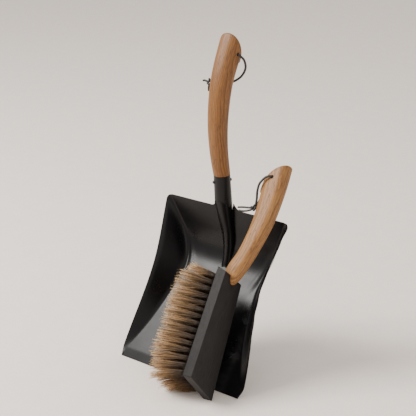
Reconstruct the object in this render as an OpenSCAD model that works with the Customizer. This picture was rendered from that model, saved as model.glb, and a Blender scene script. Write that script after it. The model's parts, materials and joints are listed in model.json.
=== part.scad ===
// Dust pan and brush set: a pressed steel pan with a bowed wooden handle in a
// socket, and a hand brush with a black wooden block, drawn tufts and a wooden handle.
// The set stands as it is put away: the pan on its lip, leaning back on a wall
// behind it, and the brush leaning in front of it.
// +X is to the pan's right side, +Y towards the wall, +Z up.
// The origin is on the floor, under the middle of the pan's lip.

/* [Pan] */
// Width of the lip, the edge that meets the floor
lip_w = 200; // [160:1:250]
// Width across the side walls just behind the lip
mouth_w = 207; // [165:1:260]
// Width across the side walls where they are nearest to each other
waist_w = 180; // [140:1:230]
// Width across the back edge
back_w = 204; // [160:1:255]
// Distance from the lip to the back edge, along the pan's floor
pan_run = 226; // [180:1:275]
// Height of the side walls at the waist, above the pan's floor
wall_h = 32; // [20:1:45]
// Width of the flat floor at the heel
heel_w = 121; // [90:1:150]
// Radius of the bend between the floor and the back panel
heel_r = 60; // [30:1:75]
// Slope of the back panel against the floor, in degrees
back_slope = 51; // [40:1:60]
// Thickness of the steel sheet
sheet_t = 1; // [0.7:0.1:1.6]
// Radius of the rounded back corners
corner_r = 7; // [3:0.5:12]
// Tilt that the pan leans back by, in degrees from lying flat
pan_tilt = 50.5; // [40:0.5:60]

/* [Pan socket and handle] */
// Outer radius of the socket at its mouth
socket_r = 11.1; // [9:0.1:14]
// Outer radius of the socket where it leaves the pan
socket_base_r = 12; // [10:0.1:15]
// Thickness of the socket's wall at its mouth
socket_t = 1.15; // [0.8:0.05:1.8]
// Slope of the socket against the pan's floor, in degrees
socket_slope = 45; // [40:1:55]
// Length of the socket from the back edge to its mouth
socket_len = 46; // [35:1:60]
// Length of the handle's plug inside the socket
plug_len = 34; // [22:1:40]
// Gap all round between the plug and the socket
plug_gap = 0.05; // [0.02:0.01:0.1]
// Radius of the pan's handle near its end
pan_grip_r = 15; // [12:0.5:18]
// Radius of the holes for the hanging cords
cord_hole_r = 2.4; // [2:0.1:3.5]

/* [Brush] */
// Length of the brush block along its middle
block_len = 146; // [115:1:180]
// Width of the block at its lower end
block_low_w = 54; // [42:1:66]
// Width of the block at its handle end
block_top_w = 39; // [32:1:50]
// Thickness of the block
block_t = 14.7; // [11:0.1:19]
// How much longer the block's far edge is at its lower end
low_skew = 20; // [0:1:24]
// How much shorter the block's far edge is at its handle end
top_skew = 8; // [0:1:12]
// How far the block's underside runs on past its back at the handle end
top_bevel = 4.7; // [1:0.1:8]
// Length of the bristles outside the block
bristle_len = 60; // [45:1:75]
// Radius of the tuft holes
tuft_r = 2.2; // [1.6:0.1:2.8]
// Depth of the tuft holes
tuft_depth = 7; // [5:0.5:8]
// Largest half thickness of the brush handle, near its end
brush_grip_r = 15; // [12:0.1:17]

/* [Cords] */
// Thickness of the leather cords
cord_d = 3; // [2:0.1:3.6]

/* [Hidden] */

// ---- smooth lines through a few points --------------------------------------

// Number of the stretch of table t that holds position v
function stretch(t, v, i = 0) = i >= len(t) - 2 || v < t[i + 1][0] ? i : stretch(t, v, i + 1);
// Slope of the smooth line at point i: that of the line between its neighbours
function slope(t, i) =
    let (a = max(i - 1, 0), b = min(i + 1, len(t) - 1))
    (t[b][1] - t[a][1]) / (t[b][0] - t[a][0]);
// Height at v of the smooth line through the points of t, [position, height] each
function smooth(t, v) =
    let (i = stretch(t, v), step = t[i + 1][0] - t[i][0], q = (v - t[i][0]) / step)
    (1 + 2 * q) * (1 - q) * (1 - q) * t[i][1] + q * (1 - q) * (1 - q) * step * slope(t, i)
    + q * q * (3 - 2 * q) * t[i + 1][1] - q * q * (1 - q) * step * slope(t, i + 1);
function mix(a, b, q) = a + (b - a) * q;
function clamp(q) = min(1, max(0, q));

// ---- the pan's pressed sheet -------------------------------------------------
// In the pan's own frame x is across, y runs along the floor from the lip
// and z is the height over the floor.

mouth_at = 16;
waist_at = 130;
heel_at = pan_run - 42;
back_h = (pan_run - heel_at) * tan(back_slope);
heel_from = heel_at - heel_r * tan(back_slope / 2);
heel_to = heel_from + heel_r * sin(back_slope);
rib_from = 160;
strip_len = 13;
strip_drop = 0.08;
tray_rows = 48;
rib_cols = 6;
floor_cols = 5;
wall_cols = 9;
ear_h = 9;
ear_w = 12;

function rim_x(v) = smooth([[0, lip_w / 2], [mouth_at, mouth_w / 2],
    [waist_at, waist_w / 2], [pan_run, back_w / 2]], v)
    - (v > pan_run - corner_r ? corner_r - sqrt(max(0, corner_r ^ 2 - (v - pan_run + corner_r) ^ 2)) : 0);
function rim_z(v) = smooth([[0, 0], [mouth_at, 0.6], [waist_at, wall_h], [pan_run, back_h]], v);
function crease_x(v) = min(rim_x(v) - 1, smooth([[0, lip_w / 2 - 1], [70, lip_w / 2 - 26],
    [150, heel_w / 2], [190, heel_w / 2 + 10], [pan_run, back_w / 2 - 7]], v));
// Floor, heel bend and back panel, seen from the side, with the lip's strip bent down
function floor_z(v) =
    v < strip_len ? -strip_drop * (strip_len - v) :
    v < heel_from ? 0 :
    v < heel_to ? heel_r - sqrt(heel_r ^ 2 - (v - heel_from) ^ 2) : (v - heel_at) * tan(back_slope);
// Share of a side wall's height: soft at the fold and flaring at the rim
function wall_share(q) = (q < 0.3 ? q * q / 0.6 : q < 0.8 ? q - 0.15 :
    q - 0.15 - 1.625 * (q - 0.8) ^ 2) / 0.785;
// The rib that carries the socket's round front down the back panel
function rib_r(v) = mix(7, socket_base_r, clamp((v - rib_from) / (pan_run - rib_from)));
function rib_rise(v) = mix(-8, 5.5, clamp((v - rib_from) / (pan_run - rib_from)));
function rib_z(x, v) = floor_z(v) + rib_rise(v)
    + sqrt(max(0, rib_r(v) ^ 2 - x ^ 2)) / cos(socket_slope);
function tray_z(x, v) =
    let (crease = crease_x(v), q = clamp((abs(x) - crease) / (rim_x(v) - crease)),
        sheet = mix(floor_z(v), max(rim_z(v), floor_z(v)), wall_share(q)))
    abs(x) < rib_r(v) && v > rib_from ? max(sheet, rib_z(x, v)) : sheet;

// Place across the pan of column i, which counts outwards from the middle
function column_x(i, v) =
    let (k = abs(i), side = sign(i), r = rib_r(v), near = r + 0.15, edge = crease_x(v))
    side * (k <= rib_cols ? r * sin(90 * k / rib_cols) :
        k <= rib_cols + floor_cols ? mix(near, edge, ((k - rib_cols - 1) / (floor_cols - 1)) ^ 1.4) :
        mix(edge, rim_x(v), (k - rib_cols - floor_cols) / wall_cols));
// The back edge rises beside the socket in two small fillets
function ear(x) = abs(x) < socket_base_r + 0.1 ? 0 :
    ear_h * clamp(1 - (abs(x) - socket_base_r) / ear_w) ^ 2;
function tray_point(i, j) =
    let (v0 = pan_run * j / tray_rows, x = column_x(i, v0), v = v0 + ear(x) * (j / tray_rows) ^ 12)
    [x, v, tray_z(x, min(v, pan_run)) + (max(v, pan_run) - pan_run) * tan(back_slope)];

side_cols = rib_cols + floor_cols + wall_cols;
// Upper face of the sheet as rows of points, then its lower face, a thickness below
module bent_sheet() {
    nc = 2 * side_cols + 1;
    top = [for (j = [0:tray_rows]) [for (i = [-side_cols:side_cols]) tray_point(i, j)]];
    function across(j, i) = top[j][min(i + 1, nc - 1)] - top[j][max(i - 1, 0)];
    function along(j, i) = top[min(j + 1, tray_rows)][i] - top[max(j - 1, 0)][i];
    function up(j, i) = let (n = cross(across(j, i), along(j, i))) n / norm(n);
    upper = [for (j = [0:tray_rows]) for (i = [0:nc - 1]) top[j][i]];
    lower = [for (j = [0:tray_rows]) for (i = [0:nc - 1]) top[j][i] - sheet_t * up(j, i)];
    count = nc * (tray_rows + 1);
    function at(j, i) = j * nc + i;
    faces = concat(
        [for (j = [0:tray_rows - 1]) for (i = [0:nc - 2]) each
            [[at(j, i), at(j + 1, i), at(j + 1, i + 1)], [at(j, i), at(j + 1, i + 1), at(j, i + 1)]]],
        [for (j = [0:tray_rows - 1]) for (i = [0:nc - 2]) each
            [[count + at(j, i), count + at(j + 1, i + 1), count + at(j + 1, i)],
            [count + at(j, i), count + at(j, i + 1), count + at(j + 1, i + 1)]]],
        [for (i = [0:nc - 2]) each
            [[at(0, i), at(0, i + 1), count + at(0, i + 1)], [at(0, i), count + at(0, i + 1), count + at(0, i)]]],
        [for (i = [0:nc - 2]) let (a = at(tray_rows, i), b = at(tray_rows, i + 1)) each
            [[a, count + b, b], [a, count + a, count + b]]],
        [for (j = [0:tray_rows - 1]) let (a = at(j, 0), b = at(j + 1, 0)) each
            [[a, count + b, b], [a, count + a, count + b]]],
        [for (j = [0:tray_rows - 1]) let (a = at(j, nc - 1), b = at(j + 1, nc - 1)) each
            [[a, b, count + b], [a, count + b, count + a]]]);
    polyhedron(concat(upper, lower), faces);
}

// Stands the pan on its lip: the lip's lower corner touches the floor
pan_rise = sheet_t * cos(pan_tilt) + strip_drop * strip_len * cos(pan_tilt);
module pan_frame() translate([0, 0, pan_rise]) rotate([pan_tilt, 0, 0]) children();
// The socket's own frame: origin at the middle of its foot on the back edge, +Z to its mouth
socket_foot_z = back_h + 5.5;
module socket_frame() pan_frame() translate([0, pan_run, socket_foot_z])
    rotate([socket_slope - 90, 0, 0]) children();

module pan_tray() {
    color([0.12, 0.12, 0.125]) pan_frame() bent_sheet();
}

// ---- socket ------------------------------------------------------------------

bore_r = socket_r - socket_t;
nail_r = 1.1;
nail_head_r = 2.2;
nail_down = 9;
nail_len = 8;
// The nails stand this far round from the pan's sides, one to the front and one to the back
nail_turn = 56;

module handle_socket() {
    color([0.12, 0.12, 0.125]) difference() {
        socket_frame() difference() {
            translate([0, 0, -20])
                cylinder(h = socket_len + 20, r1 = socket_base_r, r2 = socket_r, $fn = 64);
            translate([0, 0, -21]) cylinder(h = socket_len + 22, r = bore_r, $fn = 64);
            for (side = [-1, 1]) translate([0, 0, socket_len - nail_down]) rotate([0, side * 90, nail_turn])
                cylinder(h = socket_r + 2, r = nail_r, $fn = 24);
        }
        pan_frame() translate([-50, pan_run - 100, -50]) cube([100, 100, 250]);
    }
}

// Two round-headed nails, one from each side
module socket_nails() {
    color([0.2, 0.2, 0.2]) socket_frame() for (side = [-1, 1])
        translate([0, 0, socket_len - nail_down]) rotate([0, side * 90, nail_turn]) {
            translate([0, 0, bore_r - nail_len + 2]) cylinder(h = nail_len, r = nail_r, $fn = 24);
            translate([0, 0, socket_r + 0.2]) intersection() {
                sphere(r = nail_head_r, $fn = 32);
                cylinder(h = nail_head_r, r = nail_head_r, $fn = 32);
            }
        }
}

// ---- swept bodies ------------------------------------------------------------

// A closed tube through rings of points, each a list of the same length
module ringed(rings) {
    n = len(rings[0]);
    m = len(rings);
    pts = [for (r = rings) each r];
    walls = [for (j = [0:m - 2]) for (i = [0:n - 1]) let (a = j * n + i, b = j * n + (i + 1) % n) each
        [[a, a + n, b + n], [a, b + n, b]]];
    polyhedron(pts, concat([[for (i = [0:n - 1]) i]], walls, [[for (i = [n - 1:-1:0]) (m - 1) * n + i]]));
}
// Ring of a soft square or round outline: half sizes a and b, roundness p of 2 for an ellipse
function soft(q, p) = sign(q) * abs(q) ^ (2 / p);
function outline(a, b, p, n) = [for (k = [0:n - 1])
    [a * soft(cos(360 * k / n), p), b * soft(sin(360 * k / n), p)]];

// A round cord swept along a list of points
function unit(a) = a / norm(a);
function cord_dir(p, i) = unit(p[min(i + 1, len(p) - 1)] - p[max(i - 1, 0)]);
function cord_side(p, i) = i == 0
    ? unit(cross(cord_dir(p, 0), abs(cord_dir(p, 0)[2]) > 0.7 ? [1, 0, 0] : [0, 0, 1]))
    : let (d = cord_dir(p, i), s = cord_side(p, i - 1)) unit(s - d * (s * d));
function cord_rings(p, r, n) = [for (i = [0:len(p) - 1])
    let (d = cord_dir(p, i), s = cord_side(p, i), t = cross(d, s))
    [for (k = [0:n - 1]) p[i] + r * cos(360 * k / n) * s + r * sin(360 * k / n) * t]];
module swept_cord(p, r, n) ringed(cord_rings(p, r, n));

// Point of a smooth curve through hand-placed points, at u from 0 to the last one's number
function curve_at(p, u) =
    let (i = min(floor(u), len(p) - 2), q = u - i, a = p[max(i - 1, 0)], b = p[i], c = p[i + 1],
        d = p[min(i + 2, len(p) - 1)])
    0.5 * (2 * b + (c - a) * q + (2 * a - 5 * b + 4 * c - d) * q ^ 2 + (3 * b - a - 3 * c + d) * q ^ 3);
function curve(p, per) = [for (k = [0:(len(p) - 1) * per]) curve_at(p, k / per)];

// ---- the pan's handle --------------------------------------------------------
// Its middle line runs in the plane x = 0. Each station is
// [distance back from the socket's mouth, height over it, half thickness],
// with the mouth's middle at [0, 0].

function spin(p, a) = [p[0] * cos(a) - p[1] * sin(a), p[0] * sin(a) + p[1] * cos(a)];
foot = spin([pan_run, socket_foot_z], pan_tilt);
rise = spin([cos(socket_slope), sin(socket_slope)], pan_tilt);
mouth = [foot[0], foot[1] + pan_rise] + socket_len * rise;
grip_line = [[0, 0], [-7, 37], [-8.5, 78], [-1, 124], [18, 167], [33, 190]];
grip_r = [socket_r, socket_r + 0.7, socket_r + 1.5, mix(socket_r + 1.5, pan_grip_r, 0.45),
    pan_grip_r, pan_grip_r + 0.5];
grip_rings = 5;
grip_sides = 32;
pan_end = [20, 177];
pan_end_turn = 57;
end_round = 38;
// How much more the end's face is rounded across the handle than along its slant
end_dome = 1.2;
pan_hole = [13.5, 159];

function grip_ring(u) =
    let (c = curve_at(grip_line, u), d = curve_at(grip_line, min(u + 0.05, len(grip_line) - 1))
            - curve_at(grip_line, max(u - 0.05, 0)),
        turn = u == 0 ? atan2(rise[0], rise[1]) : atan2(d[0], d[1]),
        i = min(floor(u), len(grip_r) - 2), r = mix(grip_r[i], grip_r[i + 1], u - i),
        p = 2 + 0.5 * clamp(u / 2))
    [for (q = outline(r, r, p, grip_sides))
        [q[0], mouth[0] + c[0] + q[1] * cos(turn), mouth[1] + c[1] - q[1] * sin(turn)]];

// Cuts a handle's end to a slanted, slightly rounded face: +Z is out of the end
module end_cutter(reach) difference() {
    translate([-reach, -reach, -end_round]) cube([2 * reach, 2 * reach, 3 * end_round]);
    translate([0, 0, -end_round]) scale([1 / end_dome, 1, 1]) sphere(r = end_round, $fn = 96);
}

module pan_handle() {
    color([0.66, 0.42, 0.2]) difference() {
        union() {
            ringed([for (k = [0:grip_rings * (len(grip_line) - 1)]) grip_ring(k / grip_rings)]);
            socket_frame() translate([0, 0, socket_len - plug_len])
                cylinder(h = plug_len + 0.5, r = bore_r - plug_gap, $fn = 64);
        }
        translate([0, mouth[0] + pan_end[0], mouth[1] + pan_end[1]]) rotate([-pan_end_turn, 0, 0])
            end_cutter(26);
        translate([-25, mouth[0] + pan_hole[0], mouth[1] + pan_hole[1]]) rotate([0, 90, 0])
            cylinder(h = 50, r = cord_hole_r, $fn = 32);
        socket_frame() for (side = [-1, 1])
            translate([0, 0, socket_len - nail_down]) rotate([0, side * 90, nail_turn])
                translate([0, 0, bore_r - nail_len + 2]) cylinder(h = nail_len, r = nail_r, $fn = 24);
    }
}

// ---- the brush ---------------------------------------------------------------
// In the brush's own frame x points out of the block's back, y across it, away
// from the viewer, and z along it to the handle. Its origin is in the middle of
// the block's back.

brush_turn = [-33, -6, -1];
brush_x = lip_w / 2 - 29;
brush_y = -3;
function turned(p) =
    let (a = brush_turn[0], b = brush_turn[1], c = brush_turn[2],
        q = [p[0], p[1] * cos(a) - p[2] * sin(a), p[1] * sin(a) + p[2] * cos(a)],
        r = [q[0] * cos(b) + q[2] * sin(b), q[1], q[2] * cos(b) - q[0] * sin(b)])
    [r[0] * cos(c) - r[1] * sin(c), r[0] * sin(c) + r[1] * cos(c), r[2]];
// The brush stands on the lowest corner of its block
low_corner = [-block_t, block_low_w / 2, -block_len / 2 - low_skew / 2];
brush_at = [brush_x, brush_y, -turned(low_corner)[2]];
module brush_frame() translate(brush_at) rotate(brush_turn) children();

top_near = block_len / 2 + top_skew / 2;
top_far = block_len / 2 - top_skew / 2;
low_near = -block_len / 2 + low_skew / 2;
low_far = -block_len / 2 - low_skew / 2;

// The block without its holes, its handle end cut to a bevel
module block_body() {
    long = top_bevel;
    turn = atan2(top_near - top_far, block_top_w);
    difference() {
        translate([-block_t, 0, 0]) rotate([90, 0, 90]) linear_extrude(height = block_t)
            polygon([[-block_low_w / 2, low_near], [block_low_w / 2, low_far],
                [block_top_w / 2, top_far + long], [-block_top_w / 2, top_near + long]]);
        // the bevel's plane meets the back in the line between the two top corners
        translate([0, 0, block_len / 2]) rotate([-turn, 0, 0])
            rotate([0, atan2(long, block_t), 0])
                translate([-60, -60, 0]) cube([120, 120, 60]);
    }
}

tuft_rows = 5;
tufts = 15;
edge_gap = 5.5;
end_gap = 7;
tuft_gap = 0.05;
anchor_t = 0.6;
collar = 0.8;
// Share of the block's length at which tuft i stands, from its lower end
function tuft_share(i) = i / (tufts - 1);
function tuft_w(row, i) = (row - 3) / 2 * (mix(block_low_w, block_top_w, tuft_share(i)) / 2 - edge_gap);
function tuft_l(row, i) =
    let (w = tuft_w(row, i), low = -block_len / 2 - low_skew * w / block_low_w + end_gap,
        high = block_len / 2 - top_skew * w / block_top_w - end_gap)
    mix(low, high, tuft_share(i));
// Tufts lean outwards at the ends and sides of the block
function tuft_lean_l(row, i) =
    i < 3 ? mix(-4, 1.5, (row - 1) / 4) * (3 - i) : i > tufts - 4 ? 3 * (i - tufts + 4) : 0;
function tuft_lean_w(row) = 2.5 * (row - 3);
tip_r = 0.4 * (block_len - 2 * end_gap) / (tufts - 1);

// The holes are drilled on the slant, so that the tufts stand straight in them
module at_tuft(row, i) translate([-block_t, tuft_w(row, i), tuft_l(row, i)])
    rotate([0, -90, 0]) rotate([-tuft_lean_w(row), tuft_lean_l(row, i), 0]) children();

module brush_block() {
    color([0.09, 0.085, 0.08]) brush_frame() difference() {
        block_body();
        for (row = [1:tuft_rows]) for (i = [0:tufts - 1]) at_tuft(row, i)
            translate([0, 0, -tuft_depth]) cylinder(h = tuft_depth + 1, r = tuft_r, $fn = 24);
        dowel_bore();
        translate([-plug_deep, 0, plug_at]) rotate([0, 90, 0])
            cylinder(h = plug_deep + 1, r = plug_r, $fn = 32);
        translate([-pin_deep, 0, plug_at]) rotate([0, 90, 0])
            cylinder(h = pin_deep, r = pin_r, $fn = 24);
    }
}

module tuft_row(row) {
    color([0.7, 0.55, 0.36]) brush_frame() for (i = [0:tufts - 1]) at_tuft(row, i) {
        translate([0, 0, anchor_t - tuft_depth])
            cylinder(h = tuft_depth - anchor_t + collar, r = tuft_r - tuft_gap, $fn = 24);
        translate([0, 0, collar])
            cylinder(h = bristle_len - collar, r1 = tuft_r - tuft_gap, r2 = tip_r, $fn = 24);
    }
}

// Flat wire anchors that hold the folded tufts at the bottom of their holes
module anchor_row(row) {
    color([0.7, 0.7, 0.7]) brush_frame() for (i = [0:tufts - 1]) at_tuft(row, i)
        translate([-tuft_r + 0.3, -0.9, -tuft_depth]) cube([2 * tuft_r - 0.6, 1.8, anchor_t]);
}

// ---- the brush's handle ------------------------------------------------------
// Each station is [height over the block's middle, distance out from its back,
// half thickness, half width]. Its foot overlaps the block's back in a rounded tip.

handle_from = block_len / 2 - 5;
handle_line = [[0, -7], [3.5, -5], [16, 0], [34, 8], [57, 15], [84, 20.5], [110, 22.5], [137, 23],
    [168, 22]];
handle_half = [[7.2, 3], [10, 7.5], [12, 9.2], [11.6, 9.5], [12.2, 10],
    [13.8, 10.5], [brush_grip_r, 11], [brush_grip_r + 1, 11.3], [brush_grip_r + 1.5, 11.4]];
handle_rings = 4;
brush_hole = [brush_grip_r + 7.5, block_len / 2 + 136];

function handle_ring(u) =
    let (c = curve_at(handle_line, u), d = curve_at(handle_line, min(u + 0.05, len(handle_line) - 1))
            - curve_at(handle_line, max(u - 0.05, 0)),
        turn = atan2(d[1], d[0]), h = curve_at(handle_half, u))
    [for (q = outline(h[0], h[1], 2.7, grip_sides))
        [c[1] + q[0] * cos(turn), q[1], handle_from + c[0] - q[0] * sin(turn)]];

// The dowel lies between the tuft holes and the block's back
wood_left = block_t - tuft_depth;
dowel_r = 0.26 * wood_left;
dowel_len = 54;
dowel_from = block_len / 2 - 21;
dowel_slope = 3;
fit_gap = 0.02;
plug_r = 3.2;
plug_deep = 0.12 * wood_left;
// The plug and the pin under it are right below the tip of the handle's foot
foot_tip = 3.52;
plug_at = handle_from - foot_tip - plug_r;
pin_r = 1.1;
pin_deep = 0.85 * wood_left;

module dowel_bore() translate([-wood_left / 2, 0, dowel_from]) rotate([0, dowel_slope, 0])
    cylinder(h = dowel_len + fit_gap, r = dowel_r + fit_gap, $fn = 32);

module brush_handle() {
    color([0.74, 0.5, 0.26]) brush_frame() difference() {
        ringed([for (k = [0:handle_rings * (len(handle_line) - 1)]) handle_ring(k / handle_rings)]);
        // everything in front of the block's back and below its bevelled end is the block's
        translate([fit_gap, 0, 0]) block_space();
        dowel_bore();
        translate([brush_grip_r + 6, 0, block_len / 2 + 148.3]) rotate([0, 0, 90]) rotate([-38, 0, 0])
            end_cutter(30);
        translate([brush_hole[0], -25, brush_hole[1]]) rotate([-90, 0, 0])
            cylinder(h = 50, r = cord_hole_r, $fn = 32);
    }
}

// Room that the block takes, run on past its sides and below
module block_space() {
    turn = atan2(top_near - top_far, block_top_w);
    difference() {
        translate([-60, -60, 0]) cube([60, 120, block_len]);
        translate([0, 0, block_len / 2 + fit_gap]) rotate([-turn, 0, 0])
            rotate([0, atan2(top_bevel, block_t), 0])
                translate([-90, -90, 0]) cube([180, 180, 120]);
    }
}

module handle_dowel() {
    color([0.8, 0.68, 0.5]) brush_frame() difference() {
        translate([-wood_left / 2, 0, dowel_from]) rotate([0, dowel_slope, 0])
            translate([0, 0, fit_gap]) cylinder(h = dowel_len - fit_gap, r = dowel_r, $fn = 32);
        translate([-pin_deep, 0, plug_at]) rotate([0, 90, 0])
            cylinder(h = pin_deep + 5, r = pin_r + fit_gap / 2, $fn = 24);
    }
}

// Steel pin through the dowel, under a small round plug
module dowel_pin() {
    color([0.7, 0.7, 0.72]) brush_frame() translate([-pin_deep + 0.1, 0, plug_at]) rotate([0, 90, 0])
        cylinder(h = pin_deep - plug_deep - 0.15, r = pin_r - fit_gap, $fn = 24);
}
module pin_plug() {
    color([0.1, 0.095, 0.09]) brush_frame() translate([-plug_deep + 0.05, 0, plug_at]) rotate([0, 90, 0])
        cylinder(h = plug_deep - 0.05, r = plug_r - fit_gap, $fn = 32);
}

// ---- cords -------------------------------------------------------------------
// Each loop leaves its knot, passes through the handle's hole and comes back.
// All points are measured from the middle of the hole.

pan_knot = [-24, -8, -39.5];
pan_loop = [[-20.5, -6.5, -39.3], [-15, -0.5, -39.5], [-7, 5, -39.5], [2, 7, -38], [11, 12, -31],
    [17, 13, -20], [19, 8, -9], [17.6, 1.8, -2.4], [13.5, 0, 0], [0, 0, 0], [-13.5, 0, 0],
    [-17, 0.8, -3], [-17.8, 1, -13], [-18.5, -1, -25], [-22.5, -6, -36]];
pan_tails = [[[-27, -9, -39], [-30, -9.5, -38.5], [-32, -10, -38], [-34, -11, -38.5]],
    [[-24.5, -9, -42.5], [-25, -10, -46], [-24.5, -10.5, -49], [-24, -11, -51]]];
brush_knot = [-22.3, 0, -40.5];
brush_loop = [[-20.5, -1, -37], [-19.5, -4, -29], [-18.7, -8, -21], [-15.2, -13, -13], [-11.5, -14, -7],
    [-7, -14.5, -2.5], [-2, -13.8, -0.3], [0, -10, 0], [0, 0, 0], [0, 10, 0],
    [-2, 14, -1], [-8, 15, -5], [-15, 13.5, -12], [-19.8, 8, -20], [-20.2, 4, -29], [-21, 2, -36.8]];
brush_tails = [[[-26, 0.5, -41], [-33, 0.5, -41.5], [-41, 0, -42], [-48.7, 0, -43]],
    [[-25, 0.5, -43], [-32, 1, -45.5], [-39, 0.5, -47], [-46, 0, -47]]];

module at_pan_hole() translate([0, mouth[0] + pan_hole[0], mouth[1] + pan_hole[1]]) children();
module at_brush_hole() brush_frame() translate([brush_hole[0], 0, brush_hole[1]]) children();
module knot(p) translate(p) sphere(r = 1.35 * cord_d, $fn = 24);
module tails(lines) for (p = lines) swept_cord(curve(p, 2), cord_d / 2.4, 8);

module pan_cord() {
    color([0.05, 0.05, 0.05]) at_pan_hole() swept_cord(curve(pan_loop, 2), cord_d / 2, 8);
}
module pan_cord_knot() {
    color([0.05, 0.05, 0.05]) at_pan_hole() knot(pan_knot);
}
module pan_cord_tails() {
    color([0.05, 0.05, 0.05]) at_pan_hole() tails(pan_tails);
}
module brush_cord() {
    color([0.05, 0.05, 0.05]) at_brush_hole() swept_cord(curve(brush_loop, 2), cord_d / 2, 8);
}
module brush_cord_knot() {
    color([0.05, 0.05, 0.05]) at_brush_hole() knot(brush_knot);
}
module brush_cord_tails() {
    color([0.05, 0.05, 0.05]) at_brush_hole() tails(brush_tails);
}

pan_tray();
handle_socket();
socket_nails();
pan_handle();
pan_cord();
pan_cord_knot();
pan_cord_tails();
brush_block();
brush_handle();
handle_dowel();
dowel_pin();
pin_plug();
tuft_row(1);  // tuft_row_1
tuft_row(2);  // tuft_row_2
tuft_row(3);  // tuft_row_3
tuft_row(4);  // tuft_row_4
tuft_row(5);  // tuft_row_5
anchor_row(1);  // anchor_row_1
anchor_row(2);  // anchor_row_2
anchor_row(3);  // anchor_row_3
anchor_row(4);  // anchor_row_4
anchor_row(5);  // anchor_row_5
brush_cord();
brush_cord_knot();
brush_cord_tails();
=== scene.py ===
"""Dust pan and brush set: satin black pressed steel pan with a bowed oak handle,
and a hand brush with natural bristles in front of it."""
import json
import math

import bmesh
import bpy
import numpy as np
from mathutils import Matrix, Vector


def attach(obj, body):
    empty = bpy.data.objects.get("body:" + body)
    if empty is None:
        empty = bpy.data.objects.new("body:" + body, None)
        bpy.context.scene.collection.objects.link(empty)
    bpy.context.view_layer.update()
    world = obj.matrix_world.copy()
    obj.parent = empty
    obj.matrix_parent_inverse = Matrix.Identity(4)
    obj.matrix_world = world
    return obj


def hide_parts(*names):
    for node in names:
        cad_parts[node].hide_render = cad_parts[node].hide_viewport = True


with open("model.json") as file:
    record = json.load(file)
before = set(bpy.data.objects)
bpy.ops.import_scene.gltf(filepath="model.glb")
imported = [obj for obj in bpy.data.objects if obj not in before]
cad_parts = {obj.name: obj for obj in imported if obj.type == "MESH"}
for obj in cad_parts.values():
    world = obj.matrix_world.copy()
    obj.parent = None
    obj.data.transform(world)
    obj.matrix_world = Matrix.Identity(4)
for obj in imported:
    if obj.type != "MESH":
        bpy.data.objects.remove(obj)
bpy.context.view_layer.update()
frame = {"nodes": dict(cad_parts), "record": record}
MM = 0.001
rng = np.random.default_rng(7)

# ---- camera ----------------------------------------------------------------
cam_data = bpy.data.cameras.new("camera")
cam_data.lens = 97.5
cam_data.sensor_width = 36.0
cam_data.clip_end = 20.0
cam = bpy.data.objects.new("camera", cam_data)
bpy.context.scene.collection.objects.link(cam)
cam.location = (0.8689, -1.0223, 0.6986)
forward = Vector((-0.59, 0.7389, -0.3256))
cam.rotation_mode = "QUATERNION"
cam.rotation_quaternion = forward.to_track_quat("-Z", "Y")
bpy.context.scene.camera = cam


# ---- small helpers -----------------------------------------------------------
def turn(axis, degrees):
    """Rotation matrix about X, Y or Z."""
    a = math.radians(degrees)
    c, s = math.cos(a), math.sin(a)
    return {
        "x": np.array([[1, 0, 0], [0, c, -s], [0, s, c]]),
        "y": np.array([[c, 0, s], [0, 1, 0], [-s, 0, c]]),
        "z": np.array([[c, -s, 0], [s, c, 0], [0, 0, 1]]),
    }[axis]


def catmull(points, u):
    """Smooth line through given points, at positions u counted in points (Catmull-Rom)."""
    p = np.asarray(points, float)
    u = np.clip(np.asarray(u, float), 0, len(p) - 1)
    i = np.minimum(u.astype(int), len(p) - 2)
    q = (u - i)[:, None]
    a, b, c, d = p[np.maximum(i - 1, 0)], p[i], p[i + 1], p[np.minimum(i + 2, len(p) - 1)]
    return 0.5 * (2 * b + (c - a) * q + (2 * a - 5 * b + 4 * c - d) * q**2 + (3 * b - a - 3 * c + d) * q**3)


def hermite(table, v):
    """Smooth height line through [position, height] points, slopes taken from each point's neighbours."""
    t = np.asarray(table, float)
    lo, hi = np.maximum(np.arange(len(t)) - 1, 0), np.minimum(np.arange(len(t)) + 1, len(t) - 1)
    m = (t[hi, 1] - t[lo, 1]) / (t[hi, 0] - t[lo, 0])
    i = np.clip(np.searchsorted(t[:, 0], v, side="right") - 1, 0, len(t) - 2)
    step = t[i + 1, 0] - t[i, 0]
    q = (v - t[i, 0]) / step
    return ((1 + 2 * q) * (1 - q) ** 2 * t[i, 1] + q * (1 - q) ** 2 * step * m[i]
            + q * q * (3 - 2 * q) * t[i + 1, 1] - q * q * (1 - q) * step * m[i + 1])


def mesh_piece(name, verts_mm, faces, sharp=40, attrs=None):
    """Makes a mesh object from points in mm and faces, with its stored attributes.
    Shading is smooth, except across edges sharper than `sharp` degrees."""
    me = bpy.data.meshes.new(name)
    verts = np.asarray(verts_mm, float) * MM
    me.from_pydata(verts.tolist(), [], [list(map(int, f)) for f in faces])
    for key, values in (attrs or {}).items():
        values = np.asarray(values, np.float32)
        kind = "FLOAT_VECTOR" if values.ndim == 2 else "FLOAT"
        at = me.attributes.new(key, kind, "POINT")
        at.data.foreach_set("vector" if values.ndim == 2 else "value", values.ravel())
    me.validate()
    me.update()
    me.shade_smooth()
    if sharp:
        me.set_sharp_from_angle(angle=math.radians(sharp))
    ob = bpy.data.objects.new(name, me)
    bpy.context.scene.collection.objects.link(ob)
    return ob


def grid_faces(rows, cols, start=0, wrap=False, flip=False):
    """Quads of a rows x cols net of points; `wrap` joins the last column to the first."""
    j, i = np.meshgrid(np.arange(rows - 1), np.arange(cols if wrap else cols - 1), indexing="ij")
    k = (i + 1) % cols
    q = np.stack([j * cols + i, j * cols + k, (j + 1) * cols + k, (j + 1) * cols + i], -1)
    q = q.reshape(-1, 4) + start
    return q[:, ::-1] if flip else q


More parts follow.
